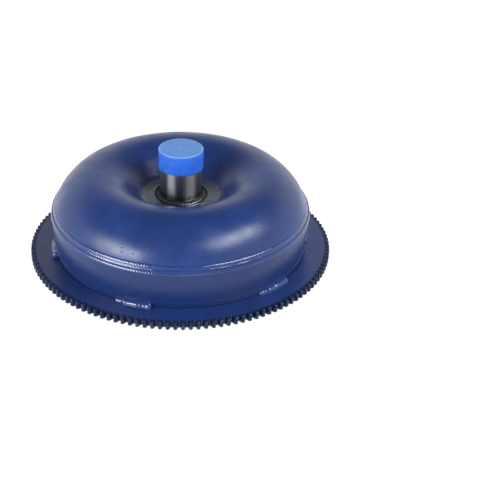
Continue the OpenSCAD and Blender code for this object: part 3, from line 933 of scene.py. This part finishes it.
def pads():
    """Mounting pads with broken edges and a tapped hole in each."""
    count = 64
    corner, edge, countersink = 3, 0.7, 0.9
    thread_pitch, thread_depth = 1.06, 0.42
    turns = int((pad_h - 2 * edge) / thread_pitch)
    loops = [plate_loop(pad_radial, pad_width, corner, count, 0, edge)]
    loops.append(round_loop(bolt_hole_r + countersink, count, 0))
    for k in range(turns):
        z = edge + k * thread_pitch
        loops.append(round_loop(bolt_hole_r, count, z))
        loops.append(round_loop(bolt_hole_r + thread_depth, count, z + thread_pitch / 2))
    loops += [round_loop(bolt_hole_r, count, z) for z in (pad_h - 0.5, pad_h)]
    loops += [plate_loop(pad_radial, pad_width, corner, count, z) for z in (pad_h, edge)]
    bm = bmesh.new()
    for i in range(bolt_count):
        lofted(bm, moved(loops, (bolt_circle_r, 0, 0), 360 * i / bolt_count), capped=False)
    piece("pads", bm, "housing", "shell_paint", "mounting_pads", sharp=30)


def pad_beads():
    """Fillet welds along the two ends of every pad."""
    length, leg, inward, first_seed = 12, 3.3, 2, 20
    steps = round(length / 0.5)
    down = Vector((0, 0, -1))
    bm = bmesh.new()
    for i in range(bolt_count):
        turn = Matrix.Rotation(TURN * i / bolt_count, 3, "Z")
        for side in (-1, 1):
            out = turn @ Vector((0, side, 0))
            corners = []
            for k in range(steps + 1):
                along = bolt_circle_r + (k / steps - 0.5) * length - inward
                corners.append((turn @ Vector((along, side * pad_width / 2, cover_z)), out, down))
            fillet_bead(bm, corners, leg, first_seed + 2 * i + side)
    piece("pad_beads", bm, "housing", "shell_paint", "pad_welds", sharp=60)


def drain_plug_piece():
    """Hex-headed plug with a dimple in its head, a chamfer on the head's corners, and a washer."""
    count = 96
    middle = (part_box("drain_plug")[0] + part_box("drain_plug")[1]) / 2 / MM
    head_r, chamfer_share, dimple_depth = 6.75, 0.86, 1.6
    washer_r, washer_t, washer_edge = 7.5, 1.2, 0.3
    shank_r, shank_past = 5, 1
    head_z = low("drain_plug").z
    washer_z = cover_z - washer_t

    def hexagon(z):
        """The head's six sides, with a point at each of round_loop's angles."""
        flat_r = head_r * math.cos(math.pi / 6)
        loop = []
        for i in range(count):
            angle = 360 * (i + 0.5) / count
            from_flat = math.radians(angle % 60 - 30)
            loop.append(Vector((*(flat_r / math.cos(from_flat) * unit(angle)), z)))
        return loop

    loops = [round_loop(3.2, count, head_z + dimple_depth), round_loop(3.4, count, head_z + 0.1)]
    loops += [round_loop(3.7, count, head_z), round_loop(head_r * chamfer_share, count, head_z)]
    loops += [hexagon(head_z + 0.7), hexagon(washer_z - 0.1)]
    loops.append(round_loop(washer_r - washer_edge, count, washer_z))
    loops += [round_loop(washer_r, count, z) for z in (washer_z + washer_edge, cover_z)]
    loops += [round_loop(shank_r, count, z) for z in (cover_z, cover_z + cover_t + shank_past)]
    bm = lofted(bmesh.new(), moved(loops, (middle.x, middle.y, 0)))
    piece("plug", bm, "housing", "plated_steel", "drain_plug", sharp=30)


def weight():
    """Balance weight: a small flat plate with rounded edges."""
    plate = (14, 32, 2.5, 96)  # width, depth, corner radius and count of points
    face_z = low("balance_weight").z
    loops = [plate_loop(*plate, face_z, inset) for inset in (6.0, 3.0, 1.0)]
    loops.append(plate_loop(*plate, face_z + 0.2, 0.35))
    loops += [plate_loop(*plate, z) for z in (face_z + 0.8, cover_z)]
    bm = lofted(bmesh.new(), moved(loops, (weight_r, 0, 0), weight_angle))
    piece("weight", bm, "housing", "shell_paint", "balance_weight", sharp=30)


# ---------------------------------------------------------------- studio

def camera():
    """The main view: from in front of the converter, looking down at it, slightly rolled."""
    place = (0.0780, -1.2897, 0.7729)  # metres
    tilt, roll = math.radians(59.45), math.radians(1.69)
    data = bpy.data.cameras.new("camera")
    data.lens = 95.3
    data.sensor_width = 36
    data.clip_end = 100
    made = bpy.data.objects.new("camera", data)
    turn = Matrix.Rotation(tilt, 4, "X") @ Matrix.Rotation(roll, 4, "Z")
    made.matrix_world = Matrix.Translation(place) @ turn
    bpy.context.scene.collection.objects.link(made)
    bpy.context.scene.camera = made


def floor():
    """A wide floor that glows plain white, at the converter's lowest point."""
    graph = Graph("studio_floor")
    graph.done(
        Base_Color=(0.02, 0.02, 0.02, 1), Roughness=0.9,
        Emission_Color=(1, 1, 1, 1), Emission_Strength=1.0,
    )
    mesh = bpy.data.meshes.new("studio_floor")
    half = 30
    corners = [(x * half, y * half, cad_low.z) for x, y in ((-1, -1), (1, -1), (1, 1), (-1, 1))]
    mesh.from_pydata(corners, [], [(0, 1, 2, 3)])
    mesh.materials.append(graph.material)
    made = bpy.data.objects.new("studio_floor", mesh)
    bpy.context.scene.collection.objects.link(made)


def softbox(name, azimuth, elevation, width, height, power):
    """A soft light that faces the converter. Azimuth 0 is on the camera's side and 90 to its right.

    The width and height are in metres and the power in watts.
    """
    distance = 1.6
    data = bpy.data.lights.new(name, "AREA")
    data.shape = "RECTANGLE"
    data.size = width
    data.size_y = height
    data.energy = power
    around = Matrix.Rotation(math.radians(azimuth), 4, "Z")
    lift = Matrix.Rotation(math.radians(90 - elevation), 4, "X")
    target = Matrix.Translation((0, 0, 0.08))
    made = bpy.data.objects.new(name, data)
    made.matrix_world = target @ around @ lift @ Matrix.Translation((0, 0, distance))
    bpy.context.scene.collection.objects.link(made)


def sky():
    """A white sweep near the horizon, higher at the back, that falls off to a dim ceiling."""
    up = (0, -0.2, 1)
    horizon, overhead = 0.2, 0.58
    bright, dim = 1.0, 0.13
    world = bpy.data.worlds.new("studio")
    bpy.context.scene.world = world
    world.use_nodes = True
    nodes = world.node_tree.nodes
    links = world.node_tree.links
    background = nodes["Background"]
    direction = nodes.new("ShaderNodeTexCoord")
    lift = nodes.new("ShaderNodeVectorMath")
    lift.operation = "DOT_PRODUCT"
    lift.inputs[1].default_value = up
    fall = nodes.new("ShaderNodeMapRange")
    fall.interpolation_type = "SMOOTHSTEP"
    fall.inputs["From Min"].default_value = horizon
    fall.inputs["From Max"].default_value = overhead
    fall.inputs["To Min"].default_value = bright
    fall.inputs["To Max"].default_value = dim
    links.new(direction.outputs["Generated"], lift.inputs[0])
    links.new(lift.outputs["Value"], fall.inputs["Value"])
    links.new(fall.outputs[0], background.inputs["Strength"])
    background.inputs["Color"].default_value = (1, 1, 1, 1)


camera()
floor()
sky()
softbox("left_box", azimuth=-50, elevation=16, width=1.1, height=0.5, power=23)
softbox("right_box", azimuth=60, elevation=40, width=1.25, height=0.42, power=23)
bpy.context.scene.view_settings.view_transform = "Standard"

finish_cad_nodes()
shell_skin()
cover_skin()
closure_bead()
gear_ring()
gear_beads()
drive_hub()
hub_bead()
shipping_cap()
crank_pilot_piece()
pilot_bead()
pads()
pad_beads()
drain_plug_piece()
weight()
